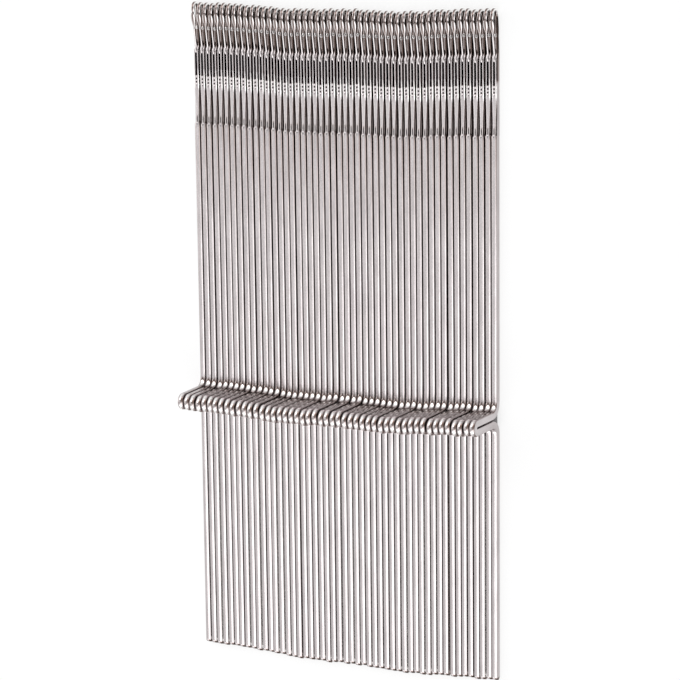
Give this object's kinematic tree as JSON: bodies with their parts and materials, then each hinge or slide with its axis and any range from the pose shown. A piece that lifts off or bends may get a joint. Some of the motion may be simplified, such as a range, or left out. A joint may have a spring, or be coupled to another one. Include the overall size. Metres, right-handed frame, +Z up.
{
  "type": "knitting machine needle set",
  "caption": "Row of bent-wire latch needles with folded butts for a flat-bed knitting machine, laid side by side on their spines, hooks to one end.",
  "frame": {"origin": "middle of the row's box, on the surface that the spines lie on", "axes": "+Y along the needles towards the hooks, +Z up with the butts, +X across the row towards the needles whose latches swing"},
  "size_m": [0.0848, 0.1724, 0.0149],
  "materials": {
    "stem_steel": "polished, nickel plated steel wire with fine drawing lines along it",
    "latch_steel": "polished, nickel plated steel strip",
    "rivet_steel": "plain steel pin, ground flush"
  },
  "bodies": {
    "row": {"needle_01": "stem_steel", "needle_02": "stem_steel", "needle_03": "stem_steel", "needle_04": "stem_steel", "needle_05": "stem_steel", "needle_06": "stem_steel", "needle_07": "stem_steel", "needle_08": "stem_steel", "needle_09": "stem_steel", "needle_10": "stem_steel", "needle_11": "stem_steel", "needle_12": "stem_steel", "needle_13": "stem_steel", "needle_14": "stem_steel", "needle_15": "stem_steel", "needle_16": "stem_steel", "needle_17": "stem_steel", "needle_18": "stem_steel", "needle_19": "stem_steel", "needle_20": "stem_steel", "needle_21": "stem_steel", "needle_22": "stem_steel", "needle_23": "stem_steel", "needle_24": "stem_steel", "needle_25": "stem_steel", "needle_26": "stem_steel", "needle_27": "stem_steel", "needle_28": "stem_steel", "needle_29": "stem_steel", "needle_30": "stem_steel", "needle_31": "stem_steel", "needle_32": "stem_steel", "needle_33": "stem_steel", "needle_34": "stem_steel", "needle_35": "stem_steel", "needle_36": "stem_steel", "needle_37": "stem_steel", "needle_38": "stem_steel", "needle_39": "stem_steel", "needle_40": "stem_steel", "needle_41": "stem_steel", "needle_42": "stem_steel", "needle_43": "stem_steel", "needle_44": "stem_steel", "needle_45": "stem_steel", "stem_46": "stem_steel", "stem_47": "stem_steel", "stem_48": "stem_steel", "stem_49": "stem_steel", "stem_50": "stem_steel", "rivet_46": "rivet_steel", "rivet_47": "rivet_steel", "rivet_48": "rivet_steel", "rivet_49": "rivet_steel", "rivet_50": "rivet_steel"},
    "latch_46_body": {"latch_46": "latch_steel"},
    "latch_47_body": {"latch_47": "latch_steel"},
    "latch_48_body": {"latch_48": "latch_steel"},
    "latch_49_body": {"latch_49": "latch_steel"},
    "latch_50_body": {"latch_50": "latch_steel"}
  },
  "joints": [
    {"name": "latch_46_swing", "type": "hinge", "parent": "row", "child": "latch_46_body", "pos_m": [0.03481, 0.07346, 0.00122], "axis": [0.9996, 0.0004, 0.0294], "range_deg": [0, 160]},
    {"name": "latch_47_swing", "type": "hinge", "parent": "row", "child": "latch_47_body", "pos_m": [0.03659, 0.07324, 0.00122], "axis": [0.9996, 0, 0.0287], "range_deg": [0, 160]},
    {"name": "latch_48_swing", "type": "hinge", "parent": "row", "child": "latch_48_body", "pos_m": [0.03824, 0.0734, 0.00122], "axis": [0.9995, -0.0005, 0.0318], "range_deg": [0, 160]},
    {"name": "latch_49_swing", "type": "hinge", "parent": "row", "child": "latch_49_body", "pos_m": [0.03995, 0.07364, 0.00122], "axis": [0.9995, 0.0002, 0.0316], "range_deg": [0, 160]},
    {"name": "latch_50_swing", "type": "hinge", "parent": "row", "child": "latch_50_body", "pos_m": [0.04162, 0.07362, 0.00122], "axis": [0.9994, -0.0008, 0.0332], "range_deg": [0, 160]}
  ]
}
